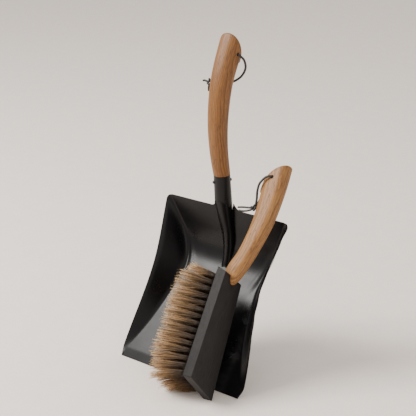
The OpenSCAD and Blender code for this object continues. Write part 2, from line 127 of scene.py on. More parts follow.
def outward(ob):
    """Turns all faces outwards."""
    bm = bmesh.new()
    bm.from_mesh(ob.data)
    bmesh.ops.recalc_face_normals(bm, faces=bm.faces)
    bm.to_mesh(ob.data)
    bm.free()
    return ob


# ---- materials ---------------------------------------------------------------
def material(name):
    """Empty node material with a principled shader; returns material, nodes, links, shader."""
    m = bpy.data.materials.new(name)
    m.use_nodes = True
    nt = m.node_tree
    sh = next(n for n in nt.nodes if n.type == "BSDF_PRINCIPLED")
    return m, nt.nodes, nt.links, sh


def put(nodes, kind, **values):
    """Adds a node and sets its plain properties."""
    n = nodes.new(kind)
    for k, v in values.items():
        setattr(n, k, v)
    return n


def noise(nodes, links, coord, scale, detail=4.0, rough=0.5, stretch=(1, 1, 1)):
    """Noise on object coordinates in metres or stored ones in mm, stretched per axis."""
    mp = put(nodes, "ShaderNodeMapping")
    mp.inputs["Scale"].default_value = stretch
    links.new(coord, mp.inputs["Vector"])
    n = put(nodes, "ShaderNodeTexNoise")
    n.inputs["Scale"].default_value = scale
    n.inputs["Detail"].default_value = detail
    n.inputs["Roughness"].default_value = rough
    links.new(mp.outputs["Vector"], n.inputs["Vector"])
    return n.outputs["Fac"]


def ramp(nodes, links, fac, stops):
    """Colour ramp: stops are (position, (r, g, b)) or (position, value)."""
    r = put(nodes, "ShaderNodeValToRGB")
    while len(r.color_ramp.elements) < len(stops):
        r.color_ramp.elements.new(0.5)
    for e, (p, c) in zip(r.color_ramp.elements, stops):
        e.position = p
        e.color = (*c, 1) if isinstance(c, tuple) else (c, c, c, 1)
    links.new(fac, r.inputs["Fac"])
    return r.outputs["Color"]


def mixed(nodes, links, fac, a, b, mode="MIX"):
    """Mixes two colours, each a socket or an (r, g, b)."""
    n = put(nodes, "ShaderNodeMix", data_type="RGBA", blend_type=mode)
    for socket, value in ((n.inputs[0], fac), (n.inputs[6], a), (n.inputs[7], b)):
        if isinstance(value, (int, float)):
            socket.default_value = value
        elif isinstance(value, tuple):
            socket.default_value = (*value, 1)
        else:
            links.new(value, socket)
    return n.outputs[2]


def bumped(nodes, links, sh, height, distance, strength=1.0):
    """Feeds a height into the shader's normal, `distance` in metres."""
    b = put(nodes, "ShaderNodeBump")
    b.inputs["Distance"].default_value = distance
    b.inputs["Strength"].default_value = strength
    links.new(height, b.inputs["Height"])
    links.new(b.outputs["Normal"], sh.inputs["Normal"])


def coords(nodes):
    """The object's own coordinates, in metres."""
    return put(nodes, "ShaderNodeTexCoord").outputs["Object"]


def steel_material(name, base, rough):
    """Satin powder coat: near black, very fine orange peel, faint wear in the gloss."""
    m, n, l, sh = material(name)
    c = coords(n)
    peel = noise(n, l, c, 900, 3, 0.55)
    cloud = noise(n, l, c, 22, 4, 0.5)
    sh.inputs["Base Color"].default_value = (*base, 1)
    l.new(ramp(n, l, cloud, [(0.3, rough - 0.05), (0.7, rough + 0.06)]), sh.inputs["Roughness"])
    sh.inputs["Specular IOR Level"].default_value = 0.2
    bumped(n, l, sh, peel, 0.00006, 0.6)
    return m


def wood_material(name, dark, mid, pale, offset, rough=0.5):
    """Oiled oak from stored coordinates in mm: x along the grain, y and z across.
    Growth rings are the distance from a far heart line; pores are short dark streaks."""
    m, n, l, sh = material(name)
    at = put(n, "ShaderNodeAttribute", attribute_name="wood")
    c = at.outputs["Vector"]
    wob = noise(n, l, c, 0.05, 3, 0.5, (0.35, 1, 1))
    mp = put(n, "ShaderNodeMapping")
    mp.inputs["Location"].default_value = offset
    mp.inputs["Scale"].default_value = (0.02, 1, 1)
    l.new(c, mp.inputs["Vector"])
    ln = put(n, "ShaderNodeVectorMath", operation="LENGTH")
    l.new(mp.outputs["Vector"], ln.inputs[0])
    shift = put(n, "ShaderNodeMath", operation="MULTIPLY_ADD")
    l.new(wob, shift.inputs[0])
    shift.inputs[1].default_value = 9.0
    l.new(ln.outputs["Value"], shift.inputs[2])
    rings = put(n, "ShaderNodeMath", operation="MULTIPLY")
    l.new(shift.outputs[0], rings.inputs[0])
    rings.inputs[1].default_value = 0.42
    saw = put(n, "ShaderNodeMath", operation="FRACT")
    l.new(rings.outputs[0], saw.inputs[0])
    ringcol = ramp(n, l, saw.outputs[0], [(0.0, mid), (0.25, pale), (0.8, mid), (1.0, dark)])
    tone = noise(n, l, c, 0.09, 5, 0.6, (0.12, 1, 1))
    col = mixed(n, l, ramp(n, l, tone, [(0.35, 0.0), (0.68, 0.75)]), ringcol, mid)
    fibre = noise(n, l, c, 1.1, 4, 0.6, (0.05, 1, 1))
    col = mixed(n, l, ramp(n, l, fibre, [(0.36, 0.55), (0.62, 0.0)]), col, dark)
    pores = noise(n, l, c, 1.7, 2, 0.5, (0.075, 1, 1))
    pore = ramp(n, l, pores, [(0.30, 1.0), (0.40, 0.0)])
    col = mixed(n, l, pore, col, tuple(0.42 * v for v in dark))
    l.new(col, sh.inputs["Base Color"])
    l.new(ramp(n, l, fibre, [(0.3, rough + 0.08), (0.7, rough - 0.06)]), sh.inputs["Roughness"])
    sh.inputs["Specular IOR Level"].default_value = 0.4
    hgt = put(n, "ShaderNodeMath", operation="MULTIPLY_ADD")
    l.new(pore, hgt.inputs[0])
    hgt.inputs[1].default_value = -1.0
    l.new(fibre, hgt.inputs[2])
    bumped(n, l, sh, hgt.outputs[0], 0.00012, 0.5)
    return m


def painted_wood_material(name):
    """Thin matt black paint over open-grained wood: fine lines along the block."""
    m, n, l, sh = material(name)
    at = put(n, "ShaderNodeAttribute", attribute_name="wood")
    c = at.outputs["Vector"]
    fibre = noise(n, l, c, 2.2, 4, 0.6, (0.03, 1, 1))
    cloud = noise(n, l, c, 0.06, 4, 0.5, (0.5, 1, 1))
    col = ramp(n, l, fibre, [(0.34, (0.0035, 0.003, 0.003)), (0.62, (0.013, 0.0115, 0.0115))])
    col = mixed(n, l, ramp(n, l, cloud, [(0.4, 0.0), (0.7, 0.35)]), col, (0.018, 0.016, 0.016))
    l.new(col, sh.inputs["Base Color"])
    l.new(ramp(n, l, fibre, [(0.3, 0.62), (0.7, 0.5)]), sh.inputs["Roughness"])
    sh.inputs["Specular IOR Level"].default_value = 0.2
    bumped(n, l, sh, fibre, 0.00012, 0.45)
    return m


def bristle_material(name):
    """Natural hair, near black at the root, dark brown to sandy towards the tip, each strand with its own tone.
    The near-black part at the root is painted shade under the block and between the tufts; the brown to sandy
    rest is the hair's own colour.
    """
    m, n, l, sh = material(name)
    along = put(n, "ShaderNodeAttribute", attribute_name="along").outputs["Fac"]
    tone = put(n, "ShaderNodeAttribute", attribute_name="tone").outputs["Fac"]
    # colour along each strand: the near-black stop at the root is painted shade, the brown to sandy stops are
    # the hair's own colour
    col = ramp(n, l, along, [
        (0.0, (0.008, 0.005, 0.003)), (0.3, (0.06, 0.033, 0.014)), (0.62, (0.24, 0.135, 0.055)),
        (0.88, (0.48, 0.29, 0.14)), (1.0, (0.62, 0.41, 0.22))])
    grey = ramp(n, l, tone, [(0.0, 0.12), (0.45, 0.6), (0.8, 1.1), (1.0, 1.7)])
    col = mixed(n, l, 1.0, col, grey, "MULTIPLY")
    l.new(col, sh.inputs["Base Color"])
    sh.inputs["Roughness"].default_value = 0.55
    sh.inputs["Specular IOR Level"].default_value = 0.35
    return m


def cord_material(name):
    """Waxed black leather cord: soft sheen, fine creases."""
    m, n, l, sh = material(name)
    c = coords(n)
    f = noise(n, l, c, 700, 4, 0.6)
    col = ramp(n, l, f, [(0.35, (0.008, 0.008, 0.008)), (0.7, (0.022, 0.021, 0.02))])
    l.new(col, sh.inputs["Base Color"])
    l.new(ramp(n, l, f, [(0.3, 0.5), (0.7, 0.66)]), sh.inputs["Roughness"])
    bumped(n, l, sh, f, 0.0001, 0.5)
    return m


def metal_material(name, base, rough):
    """Plain drawn wire or pin."""
    m, n, l, sh = material(name)
    f = noise(n, l, coords(n), 600, 3, 0.5)
    sh.inputs["Base Color"].default_value = (*base, 1)
    sh.inputs["Metallic"].default_value = 1.0
    l.new(ramp(n, l, f, [(0.3, rough - 0.05), (0.7, rough + 0.05)]), sh.inputs["Roughness"])
    return m


# Wood colours are dark line, middle and pale band; the offset in mm places the heart of the log.
# The leather is named on its own because the cords' curves take it directly.
M_CORD = cord_material("leather_cord")
MATERIALS = {
    "black_steel": steel_material("black_steel", (0.004, 0.0036, 0.004), 0.31),
    "dark_steel": steel_material("dark_steel", (0.03, 0.03, 0.032), 0.35),
    "oiled_oak": wood_material("oiled_oak", (0.075, 0.027, 0.006), (0.19, 0.073, 0.014),
                               (0.28, 0.122, 0.028), (0, 60, 22)),
    "pale_oak": wood_material("pale_oak", (0.1, 0.039, 0.009), (0.26, 0.112, 0.026),
                              (0.36, 0.178, 0.05), (0, -48, 34), 0.48),
    "beech": wood_material("beech", (0.4, 0.27, 0.15), (0.55, 0.4, 0.25),
                           (0.65, 0.5, 0.33), (0, 30, 10)),
    "black_wood": painted_wood_material("black_wood"),
    "bristle": bristle_material("bristle"),
    "leather_cord": M_CORD,
    "steel": metal_material("steel", (0.6, 0.6, 0.6), 0.35),
}


def dress(ob, slot, body, *nodes):
    """Gives a new piece the material of a slot, puts it in its body and hides the CAD nodes it stands for."""
    ob.data.materials.clear()
    ob.data.materials.append(MATERIALS[slot])
    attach(ob, body)
    if nodes:
        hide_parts(*nodes)
    return ob


for part in frame["record"]["subparts"]:
    node = frame["nodes"][part["node"]]
    node.data.materials.clear()
    node.data.materials.append(MATERIALS[part["material_slot"]])

# ---- the pan ------------------------------------------------------------------
# Sizes in mm and degrees, the same as the CAD's. x is across, v runs along the floor from the lip.
LIP_W, MOUTH_W, WAIST_W, BACK_W = 200.0, 207.0, 180.0, 204.0
RUN, WALL_H, HEEL_W, HEEL_R, SLOPE, SHEET = 226.0, 32.0, 121.0, 60.0, 51.0, 1.0
TILT, STRIP, DROP, CORNER = 50.5, 13.0, 0.08, 7.0
MOUTH_AT, WAIST_AT = 16, 130
HEEL_AT = RUN - 42
BACK_H = (RUN - HEEL_AT) * math.tan(math.radians(SLOPE))
HEEL_FROM = HEEL_AT - HEEL_R * math.tan(math.radians(SLOPE / 2))
HEEL_TO = HEEL_FROM + HEEL_R * math.sin(math.radians(SLOPE))
RISE = SHEET * math.cos(math.radians(TILT)) * (1 + DROP * STRIP)
RIB_FROM, RIB_TIP_R, SOCKET_BASE, SOCKET_SLOPE = 160.0, 7, 12.0, 45.0
SOCKET_RISE, SOCKET_LEN = 5.5, 46
# The rib starts this far under the floor and comes up to SOCKET_RISE over it
RIB_SUNK = 8
EAR_H, EAR_W = 9, 12
PLEAT_FROM, PLEAT_LEN = 128, 94


def rim_x(v):
    """Half width at the side walls' top edge: a smooth line through lip, mouth, waist and back,
    less a quarter circle at the back corner."""
    corner = np.maximum(0, CORNER**2 - (v - RUN + CORNER) ** 2)
    cut = np.where(v > RUN - CORNER, CORNER - np.sqrt(corner), 0)
    line = [[0, LIP_W / 2], [MOUTH_AT, MOUTH_W / 2], [WAIST_AT, WAIST_W / 2], [RUN, BACK_W / 2]]
    return hermite(line, v) - cut


def rim_z(v):
    """Height of the side walls' top edge: a smooth line from the lip over the waist to the back edge."""
    return hermite([[0, 0], [MOUTH_AT, 0.6], [WAIST_AT, WALL_H], [RUN, BACK_H]], v)


def crease_x(v):
    """Half width of the flat floor, where the side walls fold up: a smooth line that stays inside the rim."""
    line = hermite([[0, LIP_W / 2 - 1], [70, LIP_W / 2 - 26], [150, HEEL_W / 2], [190, HEEL_W / 2 + 10],
                    [RUN, BACK_W / 2 - 7]], v)
    return np.minimum(rim_x(v) - 1, line)


def floor_z(v):
    """Side view of the sheet: lip strip bent down, flat floor, a circle's arc at the heel, straight back."""
    into = np.clip(v, HEEL_FROM, HEEL_TO) - HEEL_FROM
    bend = HEEL_R - np.sqrt(np.maximum(0, HEEL_R**2 - into**2))
    back = (v - HEEL_AT) * math.tan(math.radians(SLOPE))
    flat = np.where(v < STRIP, -DROP * (STRIP - v), 0)
    return np.where(v < HEEL_FROM, flat, np.where(v < HEEL_TO, bend, back))


def rib_share(v):
    """0 where the rib starts, 1 at the back edge."""
    return np.clip((v - RIB_FROM) / (RUN - RIB_FROM), 0, 1)


def rib_r(v):
    """Radius of the rib that carries the socket down the back: grows evenly to the socket's own."""
    return RIB_TIP_R + (SOCKET_BASE - RIB_TIP_R) * rib_share(v)


def tray_surface(x, v):
    """Height of the pan's upper face over its floor plane, mm: the floor's side view blended into the side
    wall by a soft step in q (0 at the fold, 1 at the rim), plus two soft pleats on each side from the heel's
    fold to the back corner, joined by a smooth maximum with the socket's rib, a round ridge."""
    crease = crease_x(v)
    q = np.clip((np.abs(x) - crease) / (rim_x(v) - crease), 0, 1)
    flare = np.where(q < 0.8, q - 0.15, q - 0.15 - 1.625 * (q - 0.8) ** 2)
    share = np.where(q < 0.3, q * q / 0.6, flare) / 0.785
    base = floor_z(v)
    z = base + (np.maximum(rim_z(v), base) - base) * share
    # pleats: a dent along a line from 58 to 98 mm off the middle, and a weaker swelling beside it
    s = np.clip((v - PLEAT_FROM) / PLEAT_LEN, 0, 1)
    fade = np.sin(np.pi * s) ** 1.2
    line = 58 + 40 * s**1.4
    z -= 1.5 * fade * np.exp(-(((np.abs(x) - line) / 4.5) ** 2))
    z += 0.9 * fade * np.exp(-(((np.abs(x) - line + 9) / 4.0) ** 2))
    # slight unevenness of the right rim, from 60 mm behind the lip on
    near_rim = 0.7 * np.exp(-(((q - 0.95) / 0.07) ** 2))
    ripple = np.sin(v / 5.2 + 0.8 * np.sin(v / 17))
    z += near_rim * ripple * (x > 0) * np.clip((v - 60) / 40, 0, 1)
    r = rib_r(v)
    rise = -RIB_SUNK + (RIB_SUNK + SOCKET_RISE) * rib_share(v)
    ridge = base + rise + np.sqrt(np.maximum(0, r**2 - x**2)) / math.cos(math.radians(SOCKET_SLOPE))
    ridge = np.where((np.abs(x) < r) & (v > RIB_FROM), ridge, base - 30)
    k = 1.2 * np.clip((RUN - v) / 30, 0.05, 1)
    h = np.clip(0.5 + 0.5 * (ridge - z) / k, 0, 1)
    return np.where(np.abs(x) < r + 0.01, z * (1 - h) + ridge * h + k * h * (1 - h), z)


def to_pan(x, v, w):
    """Pan frame (across, along the floor, over the floor) to the set's frame, mm."""
    p = np.stack([x, v, w], -1) @ turn("x", TILT).T
    return p + np.array([0, 0, RISE])


def pan_sheet():
    """The pressed sheet: a net of rows along v and columns across x, upper face as tray_surface,
    lower face one sheet thickness below along the face's normal, edges closed all round."""
    rows = 170
    nr, nf, nw = 12, 26, 40  # columns on half the rib, on the floor and on a side wall
    t = np.linspace(0, 1, rows)
    v0 = RUN * (1 - (1 - t) ** 1.15)
    v0[-1] = RUN
    cols = []
    r, edge, rim = rib_r(v0), crease_x(v0), rim_x(v0)
    for k in range(nr + nf + nw + 1):
        if k <= nr:
            cols.append(r * math.sin(math.pi / 2 * k / nr))
        elif k <= nr + nf:
            cols.append((r + 0.15) + (edge - r - 0.15) * ((k - nr) / nf) ** 1.15)
        else:
            cols.append(edge + (rim - edge) * ((k - nr - nf) / nw))
    half = np.stack(cols, 1)
    x = np.concatenate([-half[:, :0:-1], half], 1)
    v = np.repeat(v0[:, None], x.shape[1], 1)
    # the back edge rises beside the socket in two small fillets
    ear = np.where(np.abs(x) < SOCKET_BASE + 0.1, 0,
                   EAR_H * np.clip(1 - (np.abs(x) - SOCKET_BASE) / EAR_W, 0, 1) ** 2)
    vv = v + ear * (v / RUN) ** 12
    past = (np.maximum(vv, RUN) - RUN) * math.tan(math.radians(SLOPE))
    w = tray_surface(x, np.minimum(vv, RUN)) + past
    top = to_pan(x, vv, w)
    nrm = np.cross(np.gradient(top, axis=1), np.gradient(top, axis=0))
    nrm /= np.linalg.norm(nrm, axis=-1, keepdims=True)
    low = top - SHEET * nrm
    R, C = x.shape
    n = R * C
    faces = [grid_faces(R, C), grid_faces(R, C, n, flip=True)]
    ring = ([(0, i) for i in range(C)] + [(j, C - 1) for j in range(1, R)]
            + [(R - 1, i) for i in range(C - 2, -1, -1)] + [(j, 0) for j in range(R - 2, 0, -1)])
    idx = np.array([j * C + i for j, i in ring])
    nxt = np.roll(idx, -1)
    faces.append(np.stack([idx, idx + n, nxt + n, nxt], -1))
    verts = np.concatenate([top.reshape(-1, 3), low.reshape(-1, 3)])
    return outward(mesh_piece("pan_sheet", verts, np.concatenate(faces), 50))


dress(pan_sheet(), "black_steel", "pan", "pan_tray")


# ---- handles -------------------------------------------------------------------
# The end's face is an ellipsoid of this radius; the cords' holes have this radius
END_R, HOLE_R, HOLE_HALF = 38.0, 2.4, 25


def superellipse(a, b, p, n):
    """Ring of n points: |y/a|^p + |z/b|^p = 1."""
    t = np.linspace(0, 2 * np.pi, n, endpoint=False)
    c, s = np.cos(t), np.sin(t)
    return np.stack([a * np.sign(c) * np.abs(c) ** (2 / p), b * np.sign(s) * np.abs(s) ** (2 / p)], -1)


def handle_surface(name, place, u_to, end_at, end_dir, edge, flat, reach, dome=1.2, n=72, rows=150):
    """A swept wooden handle. For each u from 0 to u_to, place(u) gives a ring's centre, its directions across
    and through the thickness, its half sizes in those directions and its roundness.
    Each line along the handle stops where it meets the end's face: an ellipsoid of radius END_R below end_at,
    `dome` times rounder along `flat` (the way across the handle), which counts only as far as `reach` from its
    middle. The face's rim is a fillet of radius `edge`, and the face closes to its middle."""
    end_r = END_R
    nn = np.array(end_dir, float)
    nn /= np.linalg.norm(nn)
    axis = np.asarray(flat, float)
    side = np.cross(axis, nn)
    hub = np.asarray(end_at, float) - end_r * nn

    def ring(u):
        """Points of the ring at u, and the same points as wood coordinates (0, across, thick)."""
        c, across, thick, a, b, p = place(u)
        e = superellipse(a, b, p, n)
        return c + e[:, :1] * across + e[:, 1:] * thick, np.concatenate([np.zeros((n, 1)), e], 1)

    def depth(p):
        """How deep points lie under the end's face; END_R where the face does not count."""
        d = p - hub
        far = np.sqrt((d @ nn) ** 2 + (d @ side) ** 2 + (dome * (d @ axis)) ** 2)
        return np.where((d @ nn > 0) & (np.abs(d @ side) < reach), end_r - far, end_r)

    us = np.linspace(u_to * 0.6, u_to, 400)
    deep = np.stack([depth(ring(u)[0]) for u in us])
    out = deep < edge
    stop = np.where(out.any(0), us[np.maximum(1, out.argmax(0))], u_to)
    grid_u = stop[None, :] * np.linspace(0, 1, rows)[:, None]
    steps = 700
    table_u = np.linspace(0.0, u_to, steps)
    stack = np.stack([ring(u)[0] for u in table_u])
    wood = np.stack([ring(u)[1] for u in table_u])
    middle = np.stack([place(u)[0] for u in table_u])
    run = np.concatenate([[0], np.cumsum(np.linalg.norm(np.diff(middle, axis=0), axis=1))])
    wood[:, :, 0] = run[:, None]
    f = grid_u / u_to * (steps - 1)
    i = np.clip(f.astype(int), 0, steps - 2)
    q = (f - i)[..., None]
    k = np.arange(n)[None, :]
    body = stack[i, k] * (1 - q) + stack[i + 1, k] * q
    grain = wood[i, k] * (1 - q) + wood[i + 1, k] * q
    # end face: directions from the hub, drawn together towards their middle one
    d = body[-1] - hub
    way = np.stack([dome * (d @ axis), d @ nn, d @ side], -1)
    way /= np.linalg.norm(way, axis=1, keepdims=True)
    mid = way.mean(0) / np.linalg.norm(way.mean(0))
    off = way - mid * (way @ mid)[:, None]
    rho = np.linalg.norm(off, axis=1, keepdims=True) * end_r
    caps, capg = [], []
    # each further ring: how deep it lies, how far in from the rim, and its share of the rim's size
    shapes = [(edge * (1 - math.sin(b)), edge * (1 - math.cos(b)), 1.0)
              for b in np.linspace(0.2, math.pi / 2, 6)]
    shapes += [(0.0, edge, s) for s in np.linspace(0.93, 0.06, 12)]
    for dep, inn, s in shapes:
        e = off * (rho - inn) / rho * s
        w = (e + mid * np.sqrt(1 - (e**2).sum(1, keepdims=True))) * (end_r - dep)
        caps.append(hub + w[:, :1] / dome * axis + w[:, 1:2] * nn + w[:, 2:] * side)
        g = grain[-1].copy()
        g[:, 1:] *= (rho - inn) / rho * s
        g[:, 0] += edge - dep
        capg.append(g)
    rings = np.concatenate([body, np.stack(caps)])
    grains = np.concatenate([grain, np.stack(capg)])
    R = rings.shape[0]
    verts = np.concatenate([rings.reshape(-1, 3), rings[:1].mean(1), rings[-1:].mean(1)])
    gr = np.concatenate([grains.reshape(-1, 3), grains[:1].mean(1), grains[-1:].mean(1)])
    faces = grid_faces(R, n, wrap=True).tolist()
    s0, s1 = R * n, R * n + 1
    faces += [[s0, (k + 1) % n, k] for k in range(n)]
    faces += [[s1, (R - 1) * n + k, (R - 1) * n + (k + 1) % n] for k in range(n)]
    return outward(mesh_piece(name, verts, faces, 45, {"wood": gr}))


def cut_with(ob, cutters):
    """Cuts the cutters out of a piece and removes them; the result is one plain mesh."""
    for c in cutters:
        mod = ob.modifiers.new("cut", "BOOLEAN")
        mod.operation = "DIFFERENCE"
        mod.solver = "EXACT"
        mod.object = c
    bpy.context.view_layer.update()
    dg = bpy.context.evaluated_depsgraph_get()
    me = bpy.data.meshes.new_from_object(ob.evaluated_get(dg), preserve_all_data_layers=True, depsgraph=dg)
    ob.modifiers.clear()
    ob.data = me
    me.shade_smooth()
    me.set_sharp_from_angle(angle=math.radians(38))
    for c in cutters:
        bpy.data.objects.remove(c)
    return ob


def rod(centre, axis, r, half, n=40):
    """A closed cylinder along axis about a centre, mm."""
    a = np.array(axis, float)
    a /= np.linalg.norm(a)
    s = np.cross(a, [0, 0, 1] if abs(a[2]) < 0.8 else [1, 0, 0])
    s /= np.linalg.norm(s)
    t = np.cross(a, s)
    ang = np.linspace(0, 2 * np.pi, n, endpoint=False)
    ring = r * (np.cos(ang)[:, None] * s + np.sin(ang)[:, None] * t)
    verts = np.concatenate([centre - half * a + ring, centre + half * a + ring])
    faces = grid_faces(2, n, wrap=True).tolist() + [list(range(n))[::-1], list(range(n, 2 * n))]
    return outward(mesh_piece("cutter", verts, faces, 0))


SOCKET_A = math.radians(SOCKET_SLOPE)
foot = turn("x", TILT) @ np.array([0, RUN, BACK_H + SOCKET_RISE])
rise_dir = turn("x", TILT) @ np.array([0, math.cos(SOCKET_A), math.sin(SOCKET_A)])
MOUTH = foot + np.array([0, 0, RISE]) + SOCKET_LEN * rise_dir
# Middle line of the handle, [back from the socket's mouth, over it], and its radius at each point
GRIP = np.array([[0, 0], [-7, 37], [-8.5, 78], [-1, 124], [18, 167], [33, 190]], float)
GRIP_R = [11.1, 11.8, 12.6, 12.6 * 0.55 + 15 * 0.45, 15.0, 15.5]
ACROSS = np.array([1.0, 0, 0])
PAN_END, PAN_END_TURN, PAN_REACH = np.array([0, 20, 177]), 57, 26


def pan_grip(u):
    """Ring of the pan's handle: a round section that grows a little squarer and thicker to its end.
    It starts square to the socket, with a small rounded edge at the socket's mouth."""
    c = catmull(GRIP, [u])[0]
    d = catmull(GRIP, [min(u + 0.05, 5)])[0] - catmull(GRIP, [max(u - 0.05, 0)])[0]
    a = math.atan2(rise_dir[1], rise_dir[2]) if u <= 0 else math.atan2(d[0], d[1])
    if 0 < u < 0.3:
        a = math.atan2(rise_dir[1], rise_dir[2]) * (1 - u / 0.3) + a * u / 0.3
    r = float(np.interp(u, range(6), GRIP_R)) - 0.35 * math.exp(-u / 0.02)
    centre = MOUTH + np.array([0, c[0], c[1]])
    thick = np.array([0, math.cos(a), -math.sin(a)])
    return centre, ACROSS, thick, r, r, 2 + 0.5 * min(u / 2, 1)


PAN_HOLE = MOUTH + np.array([0, 13.5, 159])
pan_end_dir = turn("x", -PAN_END_TURN) @ np.array([0, 0, 1.0])
pan_handle = handle_surface("pan_grip", pan_grip, 5.0, MOUTH + PAN_END, pan_end_dir, 2.2, ACROSS, PAN_REACH)
cut_with(pan_handle, [rod(PAN_HOLE, ACROSS, HOLE_R, HOLE_HALF)])
dress(pan_handle, "oiled_oak", "pan", "pan_handle")

# ---- the brush -------------------------------------------------------------------
# Sizes in mm, the same as the CAD's. Brush frame: out of the block's back, across, along to the handle.
BLOCK_L, LOW_W, TOP_W, BLOCK_T = 146.0, 54.0, 39.0, 14.7
LOW_SKEW, TOP_SKEW, BEVEL, ROUNDED = 20.0, 8.0, 4.7, 0.9
BR = turn("z", -1) @ turn("y", -6) @ turn("x", -33)
LOW_CORNER = np.array([-BLOCK_T, LOW_W / 2, -BLOCK_L / 2 - LOW_SKEW / 2])
BRUSH_AT = np.array([71, -3, -(BR @ LOW_CORNER)[2]])  # the lowest corner stands on the floor
BRUSH_ACROSS = BR @ np.array([0, 1.0, 0])


def to_brush(p):
    """Brush frame (out of the back, across, along to the handle) to the set's frame, mm."""
    return np.asarray(p, float) @ BR.T + BRUSH_AT


def block():
    """The tapered block: eight corners, its handle end bevelled, every edge rounded by ROUNDED mm."""
    near_t, far_t = BLOCK_L / 2 + TOP_SKEW / 2, BLOCK_L / 2 - TOP_SKEW / 2
    near_l, far_l = -BLOCK_L / 2 + LOW_SKEW / 2, -BLOCK_L / 2 - LOW_SKEW / 2
    c = [(n, w, l) for n, extra in ((0, 0), (-BLOCK_T, BEVEL))
         for w, l in ((-LOW_W / 2, near_l), (LOW_W / 2, far_l),
                      (TOP_W / 2, far_t + extra), (-TOP_W / 2, near_t + extra))]
    faces = [(0, 1, 2, 3), (7, 6, 5, 4)] + [(i, i + 4, (i + 1) % 4 + 4, (i + 1) % 4) for i in range(4)]
    ob = outward(mesh_piece("block_shape", np.array(c), faces, 0))
    bm = bmesh.new()
    bm.from_mesh(ob.data)
    bmesh.ops.bevel(bm, geom=bm.edges[:], offset=ROUNDED * MM, segments=4, profile=0.6, affect="EDGES")
    bmesh.ops.recalc_face_normals(bm, faces=bm.faces)
    bm.to_mesh(ob.data)
    bm.free()
    me = ob.data
    co = np.empty(len(me.vertices) * 3)
    me.vertices.foreach_get("co", co)
    local = co.reshape(-1, 3) / MM
    me.vertices.foreach_set("co", (to_brush(local) * MM).ravel())
    at = me.attributes.new("wood", "FLOAT_VECTOR", "POINT")
    at.data.foreach_set("vector", local[:, [2, 0, 1]].astype(np.float32).ravel())
    me.update()
    me.shade_smooth()
    me.set_sharp_from_angle(angle=math.radians(30))
    return ob


dress(block(), "black_wood", "brush", "brush_block")

HANDLE_FROM = BLOCK_L / 2 - 5
# Middle line of the handle, [up from HANDLE_FROM, out of the back], and half sizes [thick, across]
H_LINE = np.array([[0, -7], [3.5, -5], [16, 0], [34, 8], [57, 15], [84, 20.5], [110, 22.5], [137, 23],
                   [168, 22]], float)
H_HALF = np.array([[7.2, 3], [10, 7.5], [12, 9.2], [11.6, 9.5], [12.2, 10], [13.8, 10.5], [15, 11],
                   [16, 11.3], [16.5, 11.4]])
BRUSH_END, BRUSH_END_TURN, BRUSH_REACH = [21, 0, BLOCK_L / 2 + 148.3], math.radians(38), 30


def brush_grip(u):
    """Ring of the brush's handle: a soft square that rises from the block's back and thickens to its end."""
    c = catmull(H_LINE, [u])[0]
    d = catmull(H_LINE, [min(u + 0.05, 8)])[0] - catmull(H_LINE, [max(u - 0.05, 0)])[0]
    a = math.atan2(d[1], d[0])
    h = catmull(H_HALF, [u])[0]
    thick = BR @ np.array([math.cos(a), 0, -math.sin(a)])
    return to_brush([c[1], 0, HANDLE_FROM + c[0]]), BRUSH_ACROSS, thick, h[1], h[0], 2.9


BRUSH_HOLE = to_brush([22.5, 0, BLOCK_L / 2 + 136])
brush_end_dir = BR @ np.array([-math.sin(BRUSH_END_TURN), 0, math.cos(BRUSH_END_TURN)])
brush_handle = handle_surface("brush_grip", brush_grip, 8.0, to_brush(BRUSH_END), brush_end_dir, 2.0,
                              BRUSH_ACROSS, BRUSH_REACH)
# the room that the block takes: in front of its back, up to its bevelled end
angle = math.atan2(TOP_SKEW, TOP_W)
room = [(n, w, BLOCK_L / 2 - w * math.tan(angle) - n * BEVEL / BLOCK_T if top else 0.0)
        for top in (0, 1) for n in (0.02, -60.0) for w in (-60.0, 60.0)]
room_faces = [(0, 1, 3, 2), (4, 6, 7, 5), (0, 4, 5, 1), (2, 3, 7, 6), (0, 2, 6, 4), (1, 5, 7, 3)]
room = outward(mesh_piece("cutter", to_brush(room), room_faces, 0))
cut_with(brush_handle, [room, rod(BRUSH_HOLE, BRUSH_ACROSS, HOLE_R, HOLE_HALF)])
dress(brush_handle, "pale_oak", "brush", "brush_handle")

# ---- bristles ----------------------------------------------------------------------
ROWS, TUFTS, EDGE_GAP, END_GAP, LONG = 5, 15, 5.5, 7.0, 60.0
STRAND_R, FLOOR_GAP, ROOT_IN = 0.2, 0.35, 0.6


def tuft_place(row, i):
    """Where tuft i of a row leaves the block (across, along) and how it leans, in degrees."""
    share = i / (TUFTS - 1)
    w = (row - 3) / 2 * ((LOW_W + (TOP_W - LOW_W) * share) / 2 - EDGE_GAP)
    low = -BLOCK_L / 2 - LOW_SKEW * w / LOW_W + END_GAP
    high = BLOCK_L / 2 - TOP_SKEW * w / TOP_W - END_GAP
    lean = (-4 + 5.5 * (row - 1) / 4) * (3 - i) if i < 3 else 3 * (i - TUFTS + 4) if i > TUFTS - 4 else 0
    return w, low + (high - low) * share, lean, 2.5 * (row - 3)


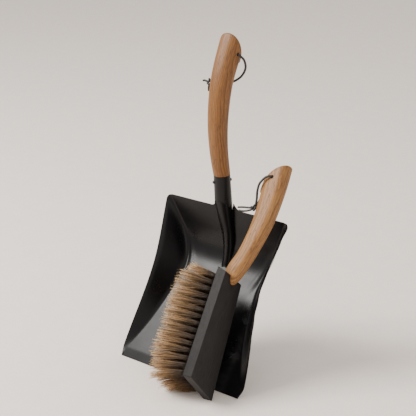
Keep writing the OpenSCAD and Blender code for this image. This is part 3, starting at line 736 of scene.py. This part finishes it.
def bristles(row, per=120, ks=7):
    """One row of tufts, `per` strands in each, `ks` points on each strand. With t from 0 at the root to 1 at
    the tip, a strand's place is root + direction * length * t + spread * t + (bend + its tuft's clump) * t^2
    + a small sine wave * t. Spread is about the root's own offset plus scatter, so a tuft doubles in width.
    A strand that would pass the floor lies on it."""
    pts, tones = [], []
    for i in range(TUFTS):
        w, l, lean_l, lean_w = tuft_place(row, i)
        el, ew = math.radians(lean_l), math.radians(lean_w)
        d = np.array([-math.cos(el) * math.cos(ew), math.sin(ew), math.sin(el) * math.cos(ew)])
        r = 2.0 * np.sqrt(rng.random(per))
        a = rng.random(per) * 2 * np.pi
        root = np.stack([np.zeros(per), r * np.cos(a), r * np.sin(a)], -1)  # across the tuft
        # the end tufts are shorter, and a few strands in each tuft are broken short
        short = 12 * max(0, (i - 12.2) / 1.8) ** 1.5 + 7 * max(0, (1.6 - i) / 1.6)
        length = LONG - short + rng.normal(0, 1.4, per) - 10 * rng.random(per) ** 4
        none = np.zeros(per)
        spread = root * 1.05 + np.stack([none, rng.normal(0, 2.0, per), rng.normal(0, 2.0, per)], -1)
        clump = np.array([0, rng.normal(0, 1.3), rng.normal(0, 1.3)])
        # the tufts at the low end sag, more in the far rows
        low_end = max(0, 3 - i)
        droop = 1.0 + 4.6 * low_end * min(1, 0.25 * (row - 1))
        bend = np.stack([none, rng.normal(0, 1.2, per) + 0.4 * low_end, rng.normal(0, 1.2, per) - droop], -1)
        t = np.linspace(0, 1, ks)[None, :, None]
        wave = 0.35 * np.sin(2 * np.pi * (t * (0.8 + rng.random((per, 1, 1))) + rng.random((per, 1, 1))))
        line = (np.array([-BLOCK_T + ROOT_IN, w, l]) + root[:, None] + d * length[:, None, None] * t
                + spread[:, None] * t + (bend[:, None] + clump) * t**2
                + wave * t * np.stack([none, np.cos(a), np.sin(a)], -1)[:, None])
        pts.append(line)
        tones.append(rng.random(per))
    p = to_brush(np.concatenate(pts))
    under = FLOOR_GAP - p[..., 2]
    p[..., 2] = np.where(under > 0, FLOOR_GAP + 0.02 * np.abs(under), p[..., 2])
    tone = np.concatenate(tones)
    n = p.shape[0]
    d = np.gradient(p, axis=1)
    d /= np.linalg.norm(d, axis=-1, keepdims=True)
    s = np.cross(d, np.array([0.31, 0.52, 0.79]))
    s /= np.linalg.norm(s, axis=-1, keepdims=True)
    b = np.cross(d, s)
    # three-sided tubes that thin to half at the tip
    thin = np.linspace(0, 1, ks)
    rad = (STRAND_R * (1 - 0.5 * thin**2))[None, :, None]
    ring = [p + rad * (math.cos(k) * s + math.sin(k) * b) for k in (0, 2.0944, 4.1888)]
    v = np.stack(ring, 2).reshape(n, -1, 3)
    base = (np.arange(n) * v.shape[1])[:, None, None]
    f = grid_faces(ks, 3, wrap=True)
    quads = (f[None] + base).reshape(-1, 4)
    ends = np.array([[0, 2, 1], [3 * ks - 3, 3 * ks - 2, 3 * ks - 1]])
    tris = (ends[None] + base).reshape(-1, 3)
    along = np.tile(np.repeat(thin, 3), n)
    faces = quads.tolist() + tris.tolist()
    return mesh_piece(f"bristles_{row}", v.reshape(-1, 3), faces, 0,
                      {"along": along, "tone": np.repeat(tone, 3 * ks)})


for row in range(1, ROWS + 1):
    dress(bristles(row), "bristle", "brush", f"tuft_row_{row}")


# ---- cords ----------------------------------------------------------------------------
def cord_curve(name, points_mm, d):
    """A round cord along points in mm."""
    cu = bpy.data.curves.new(name, "CURVE")
    cu.dimensions = "3D"
    cu.bevel_depth = d / 2 * MM
    cu.bevel_resolution = 5
    cu.use_fill_caps = True
    sp = cu.splines.new("POLY")
    sp.points.add(len(points_mm) - 1)
    for q, p in zip(sp.points, points_mm):
        q.co = (*(np.asarray(p) * MM), 1)
    ob = bpy.data.objects.new(name, cu)
    bpy.context.scene.collection.objects.link(ob)
    return ob


def tube(name, p, r, n=14):
    """A closed tube of radius r along an open line p, mm. Its rings are carried from point to point without
    twist, and the first and last are a little smaller."""
    d = np.gradient(p, axis=0)
    d /= np.linalg.norm(d, axis=1, keepdims=True)
    s = np.zeros_like(p)
    s[0] = np.cross(d[0], [0.3, 0.2, 0.93])
    for i in range(len(p)):
        if i:
            s[i] = s[i - 1] - d[i] * (s[i - 1] @ d[i])
        s[i] /= np.linalg.norm(s[i])
    b = np.cross(d, s)
    a = np.linspace(0, 2 * np.pi, n, endpoint=False)[None, :, None]
    rr = np.full(len(p), r)
    rr[[0, -1]] *= 0.8
    ring = p[:, None] + rr[:, None, None] * (np.cos(a) * s[:, None] + np.sin(a) * b[:, None])
    verts = np.concatenate([ring.reshape(-1, 3), p[:1], p[-1:]])
    m = len(p)
    faces = grid_faces(m, n, wrap=True).tolist()
    faces += [[m * n, (k + 1) % n, k] for k in range(n)]
    faces += [[m * n + 1, (m - 1) * n + k, (m - 1) * n + (k + 1) % n] for k in range(n)]
    return outward(mesh_piece(name, verts, faces, 60))


def knot(name, at, size, spin, r):
    """Overhand knot: the trefoil (sin t + 2 sin 2t, cos t - 2 cos 2t, -1.3 sin 3t) drawn tight."""
    t = np.linspace(0.15, 2 * np.pi - 0.15, 90)
    x, y, z = np.sin(t) + 2 * np.sin(2 * t), np.cos(t) - 2 * np.cos(2 * t), -1.3 * np.sin(3 * t)
    return tube(name, np.stack([x, y, z], -1) * size @ spin.T + at, r)


CORD_D, KNOT_SIZE, KNOT_R, END_CORD_R = 3.0, 1.35, 1.4, 1.3


def loop(name, body, hole, frame_of, line, knot_at, tails, nodes, spin):
    """One hanging loop: two strands that meet inside the hole, a knot and two short ends.
    frame_of takes points measured from the hole's middle to the set's frame, mm."""
    pts = frame_of(np.asarray(line, float))
    u = np.linspace(0, len(line) - 1, 160)
    p = catmull(pts, u)
    k = int(np.argmin(np.linalg.norm(p - hole, axis=1)))
    strands = [p[k::-1], p[k:]]
    kn = knot(name + "_tied", frame_of(np.array([knot_at], float))[0], KNOT_SIZE, spin, KNOT_R)
    dress(kn, "leather_cord", body, nodes[1])
    for i, t in enumerate(tails):
        q = catmull(frame_of(np.asarray(t, float)), np.linspace(0, len(t) - 1, 24))
        e = tube(f"{name}_end_{i + 1}", q, END_CORD_R)
        dress(e, "leather_cord", body, *([nodes[2]] if i == 0 else []))
    for i, s in enumerate(strands):
        c = cord_curve(f"{name}_strand_{i + 1}", s, CORD_D)
        c.data.materials.append(M_CORD)
        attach(c, body)
        if i == 0:
            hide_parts(nodes[0])


# points along the loops, in mm from the middle of each handle's hole
PAN_KNOT = [-24, -8, -39.5]
PAN_LOOP = [[-20.5, -6.5, -39.3], [-15, -0.5, -39.5], [-7, 5, -39.5], [2, 7, -38], [11, 12, -31],
    [17, 13, -20], [19, 8, -9], [17.6, 1.8, -2.4], [13.5, 0, 0], [0, 0, 0], [-13.5, 0, 0],
    [-17, 0.8, -3], [-17.8, 1, -13], [-18.5, -1, -25], [-22.5, -6, -36]]
PAN_TAILS = [[[-27, -9, -39], [-30, -9.5, -38.5], [-32, -10, -38], [-34, -11, -38.5]],
    [[-24.5, -9, -42.5], [-25, -10, -46], [-24.5, -10.5, -49], [-24, -11, -51]]]
BRUSH_KNOT = [-22.3, 0, -40.5]
BRUSH_LOOP = [[-20.5, -1, -37], [-19.5, -4, -29], [-18.7, -8, -21], [-15.2, -13, -13], [-11.5, -14, -7],
    [-7, -14.5, -2.5], [-2, -13.8, -0.3], [0, -10, 0], [0, 0, 0], [0, 10, 0],
    [-2, 14, -1], [-8, 15, -5], [-15, 13.5, -12], [-19.8, 8, -20], [-20.2, 4, -29], [-21, 2, -36.8]]
BRUSH_TAILS = [[[-26, 0.5, -41], [-33, 0.5, -41.5], [-41, 0, -42], [-48.7, 0, -43]],
    [[-25, 0.5, -43], [-32, 1, -45.5], [-39, 0.5, -47], [-46, 0, -47]]]
loop("pan_loop", "pan", PAN_HOLE, lambda q: q + PAN_HOLE, PAN_LOOP, PAN_KNOT, PAN_TAILS,
     ["pan_cord", "pan_cord_knot", "pan_cord_tails"], turn("x", 30) @ turn("y", 60))
loop("brush_loop", "brush", BRUSH_HOLE, lambda q: q @ BR.T + BRUSH_HOLE, BRUSH_LOOP, BRUSH_KNOT, BRUSH_TAILS,
     ["brush_cord", "brush_cord_knot", "brush_cord_tails"], turn("x", 20) @ turn("z", 40))

# ---- floor, light ----------------------------------------------------------------------
FAR = 6000.0
floor = mesh_piece("floor", [[-FAR, -FAR, 0], [FAR, -FAR, 0], [FAR, FAR, 0], [-FAR, FAR, 0]], [(0, 1, 2, 3)], 0)
m_floor, nf, lf, shf = material("pale floor")
floor_col = ramp(nf, lf, noise(nf, lf, coords(nf), 30, 5, 0.6),
                 [(0.3, (0.86, 0.775, 0.71)), (0.7, (0.89, 0.805, 0.74))])
lf.new(floor_col, shf.inputs["Base Color"])
shf.inputs["Roughness"].default_value = 0.85
floor.data.materials.append(m_floor)


def soft_light(name, at, aim, size, watts, colour=(1, 0.97, 0.93)):
    """A square soft box at a place, aimed at a point (metres)."""
    li = bpy.data.lights.new(name, "AREA")
    li.energy = watts
    li.size = size
    li.color = colour
    ob = bpy.data.objects.new(name, li)
    ob.location = at
    ob.rotation_mode = "QUATERNION"
    ob.rotation_quaternion = (Vector(aim) - Vector(at)).to_track_quat("-Z", "Y")
    bpy.context.scene.collection.objects.link(ob)


soft_light("key", (-1.3, -1.2, 1.9), (0, 0.05, 0.2), 1.1, 105)
soft_light("fill", (1.9, -1.0, 1.3), (0, 0.05, 0.2), 1.6, 9)
world = bpy.data.worlds.new("pale room")
world.use_nodes = True
bg = world.node_tree.nodes["Background"]
bg.inputs["Color"].default_value = (0.93, 0.9, 0.87, 1)
bg.inputs["Strength"].default_value = 1.0
bpy.context.scene.world = world
